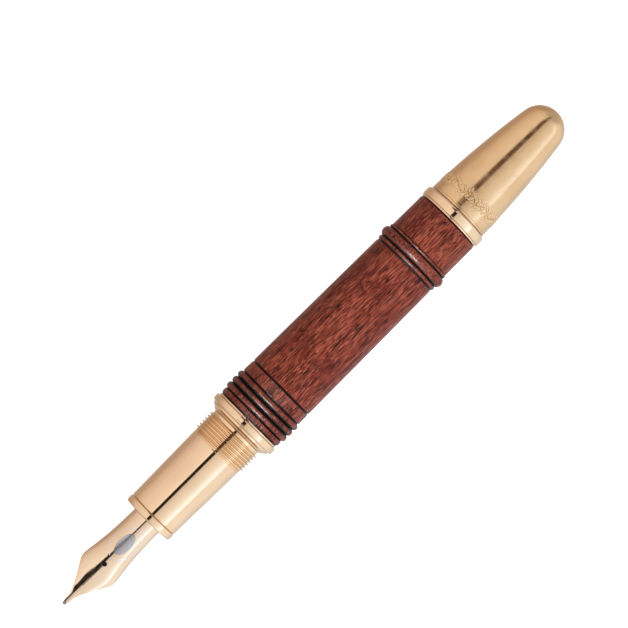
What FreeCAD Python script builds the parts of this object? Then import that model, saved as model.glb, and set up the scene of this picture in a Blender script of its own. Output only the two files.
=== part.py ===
import FreeCAD, Part
import math
import os

# A piston-filling fountain pen, uncapped, lying on its widest rings.
# Everything is built about the pen's own axis: x runs from the nib's tip (0) to the
# tail, and the radius is measured from the axis. place() then moves a finished piece
# to the part's frame, whose origin is the bottom centre of the whole pen.

# ---- driving dimensions, mm ------------------------------------------------------
LENGTH = 132.4              # nib tip to tail, uncapped
BEAD_R = 7.74               # crest of the widest beads, on which the pen lies
RUN = 0.04                  # running clearance, radial, between moving pieces
SEAT = 0.03                 # gap between the curved nib and what it lies on

# Stations along the pen
SECTION_X = 22.5            # front face of the grip's front ring
GRIP_X = 24.1               # front ring meets the grip
THREAD_X = 41.2             # cap thread starts
THREAD_END_X = 45.75        # cap thread ends
COLLAR_X = 46.35            # collar's front
WOOD_X = 49.5               # collar meets the front wood sleeve
BARREL_X = 58.1             # front wood sleeve meets the barrel sleeve
BEADS_X = 91.15             # barrel sleeve meets the bead ring
REAR_X = 95.2               # bead ring meets the rear wood sleeve
END_RING_X = 102.95         # rear wood sleeve meets the end ring
KNOB_X = 105.45             # end ring meets the turning knob

# Outer radii
LIP_R = 5.58                # front ring
GRIP_FRONT_R = 5.48
GRIP_REAR_R = 5.78
THREAD_R = 6.14             # crest of the cap thread
THREAD_ROOT_R = 5.74
NECK_R = 5.72               # relief on each side of the cap thread
COLLAR_R = 7.68
BAND_R = 7.39               # plain bands of the front wood sleeve
BARREL_FRONT_R = 7.32
BARREL_REAR_R = 7.06
REAR_FRONT_R = 7.0
REAR_END_R = 6.94
END_RING_R = 7.22
KNOB_R = 6.68               # turning knob at its base
DOME_R = 4.78               # knob's spherical end
DOME_LEAN = 8.3             # the cone's slope where the end begins, in degrees
GROOVE = 0.26               # depth of a turned groove in the wood
LINE = 0.06                 # depth of a fine turned line in the metal

# Cap thread: two starts, right-hand
THREAD_LEAD = 1.41
THREAD_STARTS = 2
THREAD_LAND = 0.25          # width of the crest

# The nib's seat in the grip
SPIGOT_R = 4.7              # front ring's spigot
SLEEVE_X = 25.5             # nib collar, and the end of the spigot
SLEEVE_R = 4.1
SLEEVE_STEP_X = 38.0        # the collar's rear is narrower from here
SLEEVE_REAR_R = 3.9
SLEEVE_END_X = 42.5
PASSAGE_R = 3.0             # ink passage through the grip's shank
SHANK_END_X = 52.4

# Grooves for the rubber rings: from x, to x, and the radius of the floor
SECTION_SEAL = (50.9, 51.8, 4.55)
HOUSING_SEAL = (85.2, 86.0, 4.72)

# Barrel core and filling mechanism
CORE_R = 6.0                # outside of the core tube, inside of the wood
CORE_X = 46.95
CORE_END_X = 104.2
INK_R = 4.6                 # ink reservoir
INK_X = 52.6
INK_END_X = 84.0
SHANK_R = 5.05              # grip's shank in the core, with its thread
HOUSING_R = 5.2             # mechanism housing in the core's rear
HOUSING_TAIL_R = 4.55       # threaded tail that the knob climbs on
HOUSING_TAIL_X = 112.0
ROD_R = 2.1
ROD_FLAT = 1.55             # half distance between the rod's two flats
ROD_END_X = 118.6
SPINDLE_R = 3.3
SPINDLE_X = 88.6
SPINDLE_THREAD_END_X = 95.0
FLANGE_R = 4.1              # spindle's flange
FLANGE_END_X = 89.9
SEAT_END_X = 90.4           # shoulder in the housing, behind the flange and washer
HEX_FLATS = 5.4             # across the flats of the spindle's driving tail
HEX_X = 104.8
INSERT_END_X = 119.05
PISTON_TRAVEL = 23.0
PISTON_X = INK_X + 0.4 + PISTON_TRAVEL      # front of the piston, pen full
PISTON_END_X = PISTON_X + 7.4
KNOB_LIFT = 2.4
SPINDLE_END_X = HOUSING_TAIL_X + 3.0 + KNOB_LIFT

# Nib: for each station along the nib, its half width and the height of its ridge.
# The edges lie about level with the pen's axis up to the shoulders.
NIB_END_X = 35.5
NIB_R = 3.28                # where the nib enters the grip
NIB_BASE_THICKNESS = 0.35
NIB_SHAPE = [               # x, half width, ridge height, edge height, thickness
    (0.35, 0.42, 0.62, 0.60, 0.52),
    (2.7, 0.83, 1.00, 0.95, 0.52),
    (4.25, 1.50, 1.22, 1.04, 0.50),
    (6.5, 2.74, 1.60, 0.94, 0.46),
    (8.05, 3.65, 1.85, 0.55, 0.44),
    (8.8, 4.03, 1.97, 0.25, 0.43),
    (9.55, 4.19, 2.10, 0.02, 0.42),
    (10.7, 4.10, 2.30, -0.02, 0.40),
    (12.6, 3.84, 2.61, -0.03, 0.38),
    (15.6, 3.52, 3.00, -0.03, 0.36),
    (19.0, 3.33, 3.25, 0.00, 0.35),
    (SECTION_X, NIB_R, NIB_R, 0.00, NIB_BASE_THICKNESS),
    (NIB_END_X, NIB_R, NIB_R, 0.00, NIB_BASE_THICKNESS),
]
HOLE_X = 11.0               # breather hole
HOLE_R = 0.48
SLIT = 0.1
TIP_R = 0.44
TIP_Z = 0.36                # height of the tipping pellet's centre above the axis

# Feed
FEED_X = 5.0
FEED_END_X = 41.5
FEED_R = 3.25
FEED_SLOPE_X = 10.4         # the underside slopes down from here
FEED_SLOPE_Z = -0.95
FEED_SLOPE_END_X = 20.6
FIN_COUNT = 10
FIN_PITCH = 0.95
FIN_GAP = 0.4
FIN_X = 11.6

PARTS = "parts"


# ---- helpers ---------------------------------------------------------------------
def turned(start, *steps):
    """A solid of revolution about the pen's axis. Each step is a point (x, r), or an
    arc given as (point on the arc, end point)."""
    edges = []
    here = FreeCAD.Vector(start[0], 0, start[1])
    for step in steps:
        if isinstance(step[0], tuple):
            middle = FreeCAD.Vector(step[0][0], 0, step[0][1])
            end = FreeCAD.Vector(step[1][0], 0, step[1][1])
            edges.append(Part.Arc(here, middle, end).toShape())
        else:
            end = FreeCAD.Vector(step[0], 0, step[1])
            edges.append(Part.LineSegment(here, end).toShape())
        here = end
    first = FreeCAD.Vector(start[0], 0, start[1])
    if here.distanceToPoint(first) > 1e-7:
        edges.append(Part.LineSegment(here, first).toShape())
    face = Part.Face(Part.Wire(edges))
    return face.revolve(FreeCAD.Vector(0, 0, 0), FreeCAD.Vector(1, 0, 0), 360)


def tube(x0, x1, outer, inner):
    return turned((x0, inner), (x0, outer), (x1, outer), (x1, inner))


def rod(x0, x1, radius):
    return Part.makeCylinder(radius, x1 - x0, FreeCAD.Vector(x0, 0, 0), FreeCAD.Vector(1, 0, 0))


def block(x0, x1, y0, y1, z0, z1):
    return Part.makeBox(x1 - x0, y1 - y0, z1 - z0, FreeCAD.Vector(x0, y0, z0))


def hexagon(x0, x1, across_flats):
    corner = across_flats / math.sqrt(3)
    points = []
    for k in range(7):
        angle = math.radians(60 * k)
        points.append(FreeCAD.Vector(x0, corner * math.cos(angle), corner * math.sin(angle)))
    return Part.Face(Part.makePolygon(points)).extrude(FreeCAD.Vector(x1 - x0, 0, 0))


def helical_groove(x0, x1, root, crest, turn):
    """One start of a thread's groove, as a solid that reaches past the crest."""
    mouth = (THREAD_LEAD / THREAD_STARTS - THREAD_LAND) / 2
    floor = mouth * 0.4
    over = 0.15
    slope = (mouth - floor) / (crest - root)
    outer = mouth + slope * over
    points = [
        FreeCAD.Vector(root, 0, -floor),
        FreeCAD.Vector(root, 0, floor),
        FreeCAD.Vector(crest + over, 0, outer),
        FreeCAD.Vector(crest + over, 0, -outer),
        FreeCAD.Vector(root, 0, -floor),
    ]
    helix = Part.makeHelix(THREAD_LEAD, x1 - x0, root)
    groove = Part.Wire(helix.Edges).makePipeShell([Part.makePolygon(points)], True, True)
    groove.rotate(FreeCAD.Vector(0, 0, 0), FreeCAD.Vector(0, 0, 1), turn)
    groove.rotate(FreeCAD.Vector(0, 0, 0), FreeCAD.Vector(0, 1, 0), 90)
    groove.translate(FreeCAD.Vector(x0, 0, 0))
    return groove


def place(shape):
    moved = shape.copy()
    moved.translate(FreeCAD.Vector(-LENGTH / 2, 0, BEAD_R))
    return moved


# ---- nib, tipping and feed -------------------------------------------------------
def sheet_arc(half_width, ridge, edge):
    """Radius, centre height and half angle of the arc through both edges and the ridge."""
    rise = ridge - edge
    radius = (half_width ** 2 + rise ** 2) / (2 * rise)
    centre = ridge - radius
    return radius, centre, math.atan2(half_width, edge - centre)


def arc_point(x, centre, distance, angle):
    return FreeCAD.Vector(x, distance * math.sin(angle), centre + distance * math.cos(angle))


def nib_sheet():
    """Curved sheet, lofted through one crescent at each station."""
    wires = []
    for x, half_width, ridge, edge, thickness in NIB_SHAPE:
        far, centre, half_angle = sheet_arc(half_width, ridge, edge)
        near = far - thickness
        outer = [arc_point(x, centre, far, half_angle * side) for side in (-1, 0, 1)]
        inner = [arc_point(x, centre, near, half_angle * side) for side in (1, 0, -1)]
        edges = [
            Part.Arc(*outer).toShape(),
            Part.LineSegment(outer[2], inner[0]).toShape(),
            Part.Arc(*inner).toShape(),
            Part.LineSegment(inner[2], outer[0]).toShape(),
        ]
        wires.append(Part.Wire(edges))
    return Part.makeLoft(wires, True, True)


def under_nib():
    """The space below the nib's underside, between its edges, less the seating gap."""
    depth = -6
    wires = []
    for x, half_width, ridge, edge, thickness in NIB_SHAPE:
        radius, centre, half_angle = sheet_arc(half_width, ridge, edge)
        near = radius - thickness - SEAT
        left = arc_point(x, centre, near, -half_angle)
        top = arc_point(x, centre, near, 0)
        right = arc_point(x, centre, near, half_angle)
        low_right = FreeCAD.Vector(x, right.y, depth)
        low_left = FreeCAD.Vector(x, left.y, depth)
        edges = [
            Part.Arc(left, top, right).toShape(),
            Part.LineSegment(right, low_right).toShape(),
            Part.LineSegment(low_right, low_left).toShape(),
            Part.LineSegment(low_left, left).toShape(),
        ]
        wires.append(Part.Wire(edges))
    return Part.makeLoft(wires, True, True)


def build_nib():
    """The nib with its slit and breather hole, and the two halves of its pellet."""
    slit = block(-1, HOLE_X, -SLIT / 2, SLIT / 2, -6, 6)
    up = FreeCAD.Vector(0, 0, 1)
    hole = Part.makeCylinder(HOLE_R, 8, FreeCAD.Vector(HOLE_X, 0, 0), up)
    pellet = Part.makeSphere(TIP_R, FreeCAD.Vector(TIP_R, 0, TIP_Z))
    sheet = nib_sheet().cut(hole).cut(slit)
    return sheet.cut(pellet), pellet.cut(slit)


def feed_floor(x):
    """Height of the feed's sloping underside."""
    share = (x - FEED_SLOPE_X) / (FEED_SLOPE_END_X - FEED_SLOPE_X)
    return FEED_SLOPE_Z + share * (-FEED_R - FEED_SLOPE_Z)


def build_feed():
    """A body that fills the curved nib, tapers up to meet its tines, and has a comb of
    fins below."""
    side = [
        (FEED_X, 0.95),
        (FEED_X + 0.5, 0.35),
        (FEED_SLOPE_X, FEED_SLOPE_Z),
        (FEED_SLOPE_END_X, -FEED_R),
        (SECTION_X, -FEED_R),
        (SECTION_X, FEED_R),
        (FEED_X, FEED_R),
        (FEED_X, 0.95),
    ]
    outline = Part.makePolygon([FreeCAD.Vector(x, -FEED_R, z) for x, z in side])
    profile = Part.Face(outline).extrude(FreeCAD.Vector(0, 2 * FEED_R, 0))
    plan = [
        (FEED_X, 0.5),
        (FEED_X + 1.5, 1.3),
        (FEED_SLOPE_X + 2.5, FEED_R),
        (SECTION_X, FEED_R),
    ]
    around = plan + [(x, -y) for x, y in reversed(plan)] + plan[:1]
    outline = Part.makePolygon([FreeCAD.Vector(x, y, -FEED_R) for x, y in around])
    taper = Part.Face(outline).extrude(FreeCAD.Vector(0, 0, 2 * FEED_R))
    inside_r = NIB_R - NIB_BASE_THICKNESS - SEAT
    front = rod(FEED_X, SECTION_X, FEED_R).common(profile).common(taper).common(under_nib())
    for k in range(FIN_COUNT):
        x = FIN_X + k * FIN_PITCH
        gap = block(x, x + FIN_GAP, -4, 4, -4, 0.15)
        core = block(x - 1, x + 1, -1.35, 1.35, feed_floor(x) + 0.85, 1)
        front = front.cut(gap.cut(core))
    rear = rod(SECTION_X, FEED_END_X, FEED_R)
    over_nib = block(SECTION_X, NIB_END_X + SEAT, -4, 4, -SEAT, 4)
    rear = rear.cut(over_nib.cut(rod(SECTION_X - 1, NIB_END_X + 1, inside_r)))
    channel = block(FEED_X - 1, FEED_END_X + 1, -0.18, 0.18, 1.9, 4)
    return front.fuse(rear).removeSplitter().cut(channel)


# ---- seals -----------------------------------------------------------------------
def groove(seal, surface_r):
    """Points of a seal's groove in a turned outline."""
    x0, x1, floor_r = seal
    return (x0, surface_r), (x0, floor_r), (x1, floor_r), (x1, surface_r)


def build_seal(seal, bore_r):
    """Rubber ring in its groove, pressed a little flat by the bore round it."""
    x0, x1, floor_r = seal
    x0 += 0.1
    x1 -= 0.1
    low = floor_r + 0.01
    high = bore_r - 0.01
    middle = (low + high) / 2
    return turned(
        (x0, low), ((x0 - 0.05, middle), (x0, high)), (x1, high), ((x1 + 0.05, middle), (x1, low)),
    )


# ---- grip ------------------------------------------------------------------------
def build_nib_collar():
    """The sleeve that clamps nib and feed together and screws into the grip."""
    return turned(
        (SLEEVE_X + 0.1, 3.33),
        (SLEEVE_X + 0.1, SLEEVE_R),
        (SLEEVE_STEP_X, SLEEVE_R),
        (SLEEVE_STEP_X, SLEEVE_REAR_R),
        (SLEEVE_END_X - 0.1, SLEEVE_REAR_R),
        (SLEEVE_END_X - 0.1, 2.6),
        (FEED_END_X + 0.1, 2.6),
        (FEED_END_X + 0.1, 3.33),
    )


def build_front_ring():
    edge = 0.42
    return turned(
        (SECTION_X, 3.42),
        (SECTION_X, LIP_R - edge),
        ((SECTION_X + 0.12, LIP_R - 0.12), (SECTION_X + edge, LIP_R - 0.02)),
        ((SECTION_X + 0.9, LIP_R), (GRIP_X - 0.2, LIP_R - 0.06)),
        (GRIP_X, LIP_R - 0.26),
        (GRIP_X, SPIGOT_R),
        (SLEEVE_X, SPIGOT_R),
        (SLEEVE_X, 3.42),
    )


def build_grip():
    body = turned(
        (GRIP_X, SPIGOT_R),
        (GRIP_X, GRIP_FRONT_R - 0.12),
        (GRIP_X + 0.15, GRIP_FRONT_R),
        (THREAD_X - 0.5, GRIP_REAR_R),
        (THREAD_X - 0.4, NECK_R),
        (THREAD_X, NECK_R),
        (THREAD_X + 0.3, THREAD_R),
        (THREAD_END_X - 0.3, THREAD_R),
        (THREAD_END_X, NECK_R),
        (CORE_X, NECK_R),
        (CORE_X, SHANK_R),
        *groove(SECTION_SEAL, SHANK_R),
        (SHANK_END_X, SHANK_R),
        (SHANK_END_X, PASSAGE_R),
        (SLEEVE_END_X, PASSAGE_R),
        (SLEEVE_END_X, SLEEVE_REAR_R),
        (SLEEVE_STEP_X, SLEEVE_REAR_R),
        (SLEEVE_STEP_X, SLEEVE_R),
        (SLEEVE_X, SLEEVE_R),
        (SLEEVE_X, SPIGOT_R),
    )
    for k in range(THREAD_STARTS):
        turn = 360.0 * k / THREAD_STARTS
        x0 = THREAD_X - 0.13
        x1 = THREAD_END_X + 0.5
        body = body.cut(helical_groove(x0, x1, THREAD_ROOT_R, THREAD_R, turn))
    return body


# ---- barrel ----------------------------------------------------------------------
def build_collar():
    """Flared gold ring between grip and wood, stepped up to its widest band."""
    x = COLLAR_X
    return turned(
        (x, NECK_R + 0.02),
        (x, 5.84),
        ((x + 0.22, 6.24), (x + 0.5, 6.5)),
        (x + 0.8, 7.02),
        (x + 1.25, 7.16),
        (x + 1.3, 7.4),
        ((x + 1.42, 7.6), (x + 1.75, COLLAR_R)),
        (x + 2.45, COLLAR_R),
        ((x + 2.65, 7.62), (x + 2.74, 7.42)),
        (x + 2.74, 7.2),
        (x + 2.8, 7.2),
        (x + 2.84, 7.28),
        (x + 3.05, 7.28),
        (WOOD_X, 7.2),
        (WOOD_X, CORE_R),
        (CORE_X, CORE_R),
        (CORE_X, NECK_R + 0.02),
    )


def build_core():
    """The tube that carries the wood, and holds the ink."""
    return turned(
        (CORE_X, SHANK_R),
        (CORE_X, CORE_R),
        (CORE_END_X, CORE_R),
        (CORE_END_X, HOUSING_R),
        (INK_END_X, HOUSING_R),
        (INK_END_X, INK_R),
        (INK_X, INK_R),
        (INK_X, SHANK_R),
    )


def bead(x0, x1, foot, crest):
    """Arc step over a round bead from x0 to x1, for turned()."""
    return (((x0 + x1) / 2, crest), (x1, foot))


def build_front_wood():
    """Turned wood sleeve: a plain band, three beads, and a wider plain band."""
    x = WOOD_X
    low = BAND_R - GROOVE
    return turned(
        (x, CORE_R),
        (x, low),
        (x + 0.3, low),
        (x + 0.5, BAND_R),
        (x + 1.4, BAND_R),
        (x + 1.65, low),
        bead(x + 1.65, x + 3.1, low, BEAD_R),
        bead(x + 3.1, x + 4.6, low, BEAD_R),
        bead(x + 4.6, x + 6.0, low, BEAD_R),
        (x + 6.15, low + 0.04),
        (x + 6.3, BAND_R - 0.03),
        (BARREL_X - 0.2, BARREL_FRONT_R),
        (BARREL_X, low),
        (BARREL_X, CORE_R),
    )


def build_barrel_wood():
    low = BARREL_REAR_R - GROOVE / 2
    return turned(
        (BARREL_X, CORE_R),
        (BARREL_X, BAND_R - GROOVE),
        (BARREL_X + 0.2, BARREL_FRONT_R),
        (BEADS_X - 0.3, BARREL_REAR_R),
        (BEADS_X, low),
        (BEADS_X, CORE_R),
    )


def build_bead_ring():
    """Turned wood ring: a large bead between two small ones."""
    x = BEADS_X
    low = BARREL_REAR_R - GROOVE / 2
    return turned(
        (x, CORE_R),
        (x, low),
        bead(x, x + 0.95, low, 7.24),
        bead(x + 0.95, x + 3.15, low, BEAD_R),
        bead(x + 3.15, x + 3.95, low, 7.2),
        (REAR_X, low),
        (REAR_X, CORE_R),
    )


def build_rear_wood():
    return turned(
        (REAR_X, CORE_R),
        (REAR_X, BARREL_REAR_R - GROOVE / 2),
        (REAR_X + 0.1, REAR_FRONT_R),
        (END_RING_X - 0.9, REAR_END_R),
        ((END_RING_X - 0.25, REAR_END_R - 0.08), (END_RING_X, REAR_END_R - 0.3)),
        (END_RING_X, CORE_R),
    )


def build_end_ring():
    """Gold ring behind the wood: a narrow lip, a line, and a rounded band."""
    x = END_RING_X
    return turned(
        (x, CORE_R),
        (x, 6.72),
        ((x + 0.12, 6.98), (x + 0.38, 7.08)),
        (x + 0.44, 6.98),
        (x + 0.5, 7.12),
        ((x + 0.58, 7.19), (x + 0.72, END_RING_R)),
        (x + 1.85, END_RING_R),
        ((x + 2.12, 7.1), (KNOB_X - 0.08, KNOB_R + 0.08)),
        (KNOB_X - 0.08, 6.4),
        (KNOB_X, 6.4),
        (KNOB_X, HOUSING_R),
        (CORE_END_X, HOUSING_R),
        (CORE_END_X, CORE_R),
    )


# ---- filling mechanism -----------------------------------------------------------
def keyed_rod(x0, x1, radius, half_flat):
    """A round bar with two flats, so that it can slide but not turn."""
    return rod(x0, x1, radius).common(block(x0 - 1, x1 + 1, -radius - 1, radius + 1, -half_flat, half_flat))


def build_housing():
    """Screws into the core's rear. The spindle goes in from its front, and the knob
    climbs on its threaded tail."""
    return turned(
        (INK_END_X, FLANGE_R + RUN),
        (INK_END_X, HOUSING_R),
        *groove(HOUSING_SEAL, HOUSING_R),
        (KNOB_X, HOUSING_R),
        (KNOB_X, HOUSING_TAIL_R),
        (HOUSING_TAIL_X - 0.3, HOUSING_TAIL_R),
        (HOUSING_TAIL_X, HOUSING_TAIL_R - 0.3),
        (HOUSING_TAIL_X, SPINDLE_R + RUN),
        (SEAT_END_X, SPINDLE_R + RUN),
        (SEAT_END_X, FLANGE_R + RUN),
    )


def build_rod_guide():
    """Bush in the housing's front. It closes the spindle's seat, and its flats keep the
    rod from turning."""
    bush = rod(INK_END_X, SPINDLE_X - 0.1, FLANGE_R + RUN)
    return bush.cut(keyed_rod(INK_END_X - 1, SPINDLE_X + 1, ROD_R + RUN, ROD_FLAT + RUN))


def build_spindle():
    """Turns with the knob, and drives the rod through its inner thread. A flange holds
    it in the housing, and a six-sided tail carries the knob."""
    round_part = rod(SPINDLE_X, HEX_X, SPINDLE_R).fuse(rod(SPINDLE_X, FLANGE_END_X, FLANGE_R))
    outside = round_part.fuse(hexagon(HEX_X, SPINDLE_END_X, HEX_FLATS)).removeSplitter()
    thread = rod(SPINDLE_X - 1, SPINDLE_THREAD_END_X, ROD_R + RUN)
    relief = rod(SPINDLE_THREAD_END_X, SPINDLE_END_X + 1, ROD_R + 0.15)
    return outside.cut(thread).cut(relief)


def build_thrust_washer():
    return tube(FLANGE_END_X + RUN, SEAT_END_X, FLANGE_R, SPINDLE_R + RUN)


def build_piston_head():
    """Carrier with two grooves for its seals, and a cone that follows the ink bore."""
    seats = []
    for x in (PISTON_X + 1.3, PISTON_X + 4.6):
        seats += [(x, 4.2), (x, 3.5), (x + 1.4, 3.5), (x + 1.4, 4.2)]
    return turned(
        (PISTON_X, 0),
        (PISTON_X, 3.2),
        (PISTON_X + 0.7, 4.2),
        *seats,
        (PISTON_END_X, 4.2),
        (PISTON_END_X, ROD_R),
        (PISTON_X + 3.8, ROD_R),
        (PISTON_X + 3.8, 0),
    )


def build_piston_seals():
    rings = []
    for x in (PISTON_X + 1.35, PISTON_X + 4.65):
        rings.append(turned(
            (x, 3.52),
            (x, 4.2),
            ((x + 0.25, INK_R - 0.02), (x + 0.65, 4.4)),
            ((x + 1.05, INK_R - 0.02), (x + 1.3, 4.2)),
            (x + 1.3, 3.52),
        ))
    return Part.makeCompound(rings)


def build_piston_rod():
    front = rod(PISTON_X + 3.85, PISTON_END_X, ROD_R - 0.02)
    return front.fuse(keyed_rod(PISTON_END_X, ROD_END_X, ROD_R, ROD_FLAT)).removeSplitter()


# ---- turning knob ----------------------------------------------------------------
def build_knob():
    """Long hollow cone with a rounded end and a fine turned line near its base."""
    x = KNOB_X

    def on_dome(lean):
        angle = math.radians(lean)
        return LENGTH - DOME_R + DOME_R * math.sin(angle), DOME_R * math.cos(angle)

    return turned(
        (x + RUN, 5.75),
        (x + RUN, KNOB_R - 0.03),
        (x + 0.08, KNOB_R),
        (x + 0.42, KNOB_R),
        (x + 0.48, KNOB_R - LINE),
        (x + 0.54, KNOB_R),
        (x + 1.2, KNOB_R - 0.03),
        ((x + 12.4, 5.96), on_dome(DOME_LEAN)),
        (on_dome(45 + DOME_LEAN / 2), (LENGTH, 0)),
        (LENGTH - 1.3, 0),
        (x + 24.2, 2.6),
        (x + 22.6, 3.6),
        (x + 20.4, 4.15),
        (INSERT_END_X, 4.9),
        (x + 8.2, 5.4),
        (x + 8.2, 5.75),
    )


def build_knob_insert():
    """Pressed into the cone. Its wide bore runs on the housing's threaded tail, and its
    six-sided bore slides on the spindle."""
    x = KNOB_X
    body = turned(
        (x + RUN, HOUSING_TAIL_R + RUN),
        (x + RUN, 5.75),
        (x + 8.2, 5.75),
        (x + 8.2, 5.4),
        (INSERT_END_X, 4.9),
        (INSERT_END_X, 0),
        (HOUSING_TAIL_X + 0.1, 0),
        (HOUSING_TAIL_X + 0.1, HOUSING_TAIL_R + RUN),
    )
    body = body.cut(hexagon(HOUSING_TAIL_X - 1, SPINDLE_END_X + 0.3, HEX_FLATS + 2 * RUN))
    return body.cut(rod(HOUSING_TAIL_X, LENGTH, ROD_R + 0.25))


# ---- all pieces ------------------------------------------------------------------
def main():
    os.makedirs(PARTS, exist_ok=True)
    nib, pellet = build_nib()
    pieces = {
        "nib": nib,
        "nib_tipping": pellet,
        "feed": build_feed(),
        "nib_collar": build_nib_collar(),
        "front_ring": build_front_ring(),
        "grip_section": build_grip(),
        "section_seal": build_seal(SECTION_SEAL, SHANK_R),
        "barrel_collar": build_collar(),
        "barrel_core": build_core(),
        "front_wood_sleeve": build_front_wood(),
        "barrel_wood_sleeve": build_barrel_wood(),
        "wood_bead_ring": build_bead_ring(),
        "rear_wood_sleeve": build_rear_wood(),
        "end_ring": build_end_ring(),
        "mechanism_housing": build_housing(),
        "housing_seal": build_seal(HOUSING_SEAL, HOUSING_R),
        "drive_spindle": build_spindle(),
        "thrust_washer": build_thrust_washer(),
        "rod_guide": build_rod_guide(),
        "piston_head": build_piston_head(),
        "piston_seals": build_piston_seals(),
        "piston_rod": build_piston_rod(),
        "turning_knob": build_knob(),
        "knob_insert": build_knob_insert(),
    }
    for name, shape in pieces.items():
        placed = place(shape)
        box = placed.BoundBox
        print(f"{name:20s} solids {len(placed.Solids)} valid {placed.isValid()} "
              f"volume {placed.Volume:9.2f} x {box.XMin:7.2f} {box.XMax:7.2f} "
              f"y {box.YMin:6.2f} {box.YMax:6.2f} z {box.ZMin:6.2f} {box.ZMax:6.2f}")
        placed.exportStep(os.path.join(PARTS, f"{name}.step"))


main()
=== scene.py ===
import math

import bmesh
import bpy
import numpy as np
from mathutils import Matrix, Vector


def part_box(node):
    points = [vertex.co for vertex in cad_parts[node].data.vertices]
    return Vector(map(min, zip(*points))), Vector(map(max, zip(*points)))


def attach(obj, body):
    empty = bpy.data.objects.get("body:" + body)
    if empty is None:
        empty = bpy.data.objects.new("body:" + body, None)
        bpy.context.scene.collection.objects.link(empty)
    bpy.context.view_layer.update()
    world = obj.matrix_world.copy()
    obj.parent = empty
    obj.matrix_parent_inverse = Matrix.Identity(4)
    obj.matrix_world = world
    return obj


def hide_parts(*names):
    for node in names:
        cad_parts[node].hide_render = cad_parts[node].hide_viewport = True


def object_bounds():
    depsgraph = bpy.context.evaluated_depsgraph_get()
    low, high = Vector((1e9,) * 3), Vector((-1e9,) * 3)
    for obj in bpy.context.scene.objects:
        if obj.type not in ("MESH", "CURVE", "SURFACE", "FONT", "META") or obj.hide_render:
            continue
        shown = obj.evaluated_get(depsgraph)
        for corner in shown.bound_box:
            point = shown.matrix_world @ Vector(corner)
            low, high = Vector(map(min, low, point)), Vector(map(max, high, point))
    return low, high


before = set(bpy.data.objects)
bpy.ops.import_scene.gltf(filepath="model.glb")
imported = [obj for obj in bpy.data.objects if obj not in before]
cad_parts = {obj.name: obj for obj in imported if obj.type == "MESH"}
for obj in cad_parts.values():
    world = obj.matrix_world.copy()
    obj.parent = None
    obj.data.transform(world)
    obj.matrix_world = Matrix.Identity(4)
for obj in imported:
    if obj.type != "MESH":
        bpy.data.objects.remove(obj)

cad_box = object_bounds()

# A piston-filling fountain pen of gold and turned rosewood, lying on its wooden beads.
# Every shape is given in the pen's own terms, in mm: x along the axis from the nib's
# tip, and the radius from the axis. in_frame() puts them in the CAD model's frame.

# ---- the pen's stations and radii, from the CAD model ----------------------------
MM = 0.001
TIP_X = cad_box[0].x
AXIS_Z = (cad_box[0].z + cad_box[1].z) / 2


def front(node):
    """Where a CAD node begins, in mm from the nib's tip."""
    return (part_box(node)[0].x - TIP_X) / MM


def rear(node):
    """Where a CAD node ends."""
    return (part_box(node)[1].x - TIP_X) / MM


def widest(node):
    """A CAD node's largest radius, in mm."""
    low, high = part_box(node)
    return (high.y - low.y) / 2 / MM


SECTION_X = front("front_ring")
GRIP_X = front("grip_section")
COLLAR_X = front("barrel_collar")
WOOD_X = front("front_wood_sleeve")
BARREL_X = front("barrel_wood_sleeve")
BEADS_X = front("wood_bead_ring")
REAR_X = front("rear_wood_sleeve")
END_RING_X = front("end_ring")
KNOB_X = rear("end_ring")
PEN_END_X = rear("turning_knob")
CORE_X = front("barrel_core")
CORE_END_X = rear("barrel_core")
NIB_END_X = rear("nib")
HOUSING_X = front("mechanism_housing")
HOUSING_TAIL_X = rear("mechanism_housing")
INSERT_END_X = rear("knob_insert")
SHANK_END_X = rear("grip_section")

LIP_R = widest("front_ring")
CORE_R = widest("barrel_core")
COLLAR_R = widest("barrel_collar")
BEAD_R = widest("front_wood_sleeve")
END_RING_R = widest("end_ring")
KNOB_R = widest("turning_knob")
THREAD_R = widest("grip_section")
HOUSING_R = widest("mechanism_housing")
INSERT_R = widest("knob_insert")

# Radii that no box gives
GRIP_FRONT_R = 5.48
GRIP_REAR_R = 5.78
NECK_R = 5.72
SHANK_R = 5.05
BAND_R = 7.39
BARREL_FRONT_R = 7.32
BARREL_REAR_R = 7.06
REAR_FRONT_R = 7.0
REAR_END_R = 6.94
NIB_BORE_R = 3.42           # front ring, round the nib
SPIGOT_R = 4.7              # front ring's spigot in the grip
SLEEVE_R = 4.1              # nib collar in the grip
SLEEVE_REAR_R = 3.9
PASSAGE_R = 3.0             # ink passage through the grip's shank
GROOVE = 0.26               # depth of a turned groove in the wood
JOINT = 0.14                # half width of the groove between the wooden sleeves
LINE = 0.06                 # depth of a fine turned line in the metal
DOME_R = 4.78               # knob's spherical end
DOME_LEAN = 8.3             # the cone's slope where the end begins, in degrees

# Stations inside the pen
SLEEVE_X = 25.5             # nib collar, and the end of the spigot
SLEEVE_STEP_X = 38.0        # the collar's rear is narrower from here
SLEEVE_END_X = 42.5
SEAT_END_X = 90.4           # shoulder in the mechanism's housing

# Grooves for the rubber rings: from x, to x, and the radius of the floor
SECTION_SEAL = (50.9, 51.8, 4.55)
HOUSING_SEAL = (85.2, 86.0, 4.72)

# Cap thread on the grip: two starts, right-hand
THREAD_X = 41.2
THREAD_END_X = 45.75
THREAD_ROOT_R = 5.74
THREAD_LEAD = 1.41
THREAD_STARTS = 2
THREAD_MOUTH = 0.25         # half widths of a groove, at the crest and at the root
THREAD_FLOOR = 0.13
THREAD_PHASE = -0.08        # x where a groove crosses the +Y side, but for whole pitches

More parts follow.
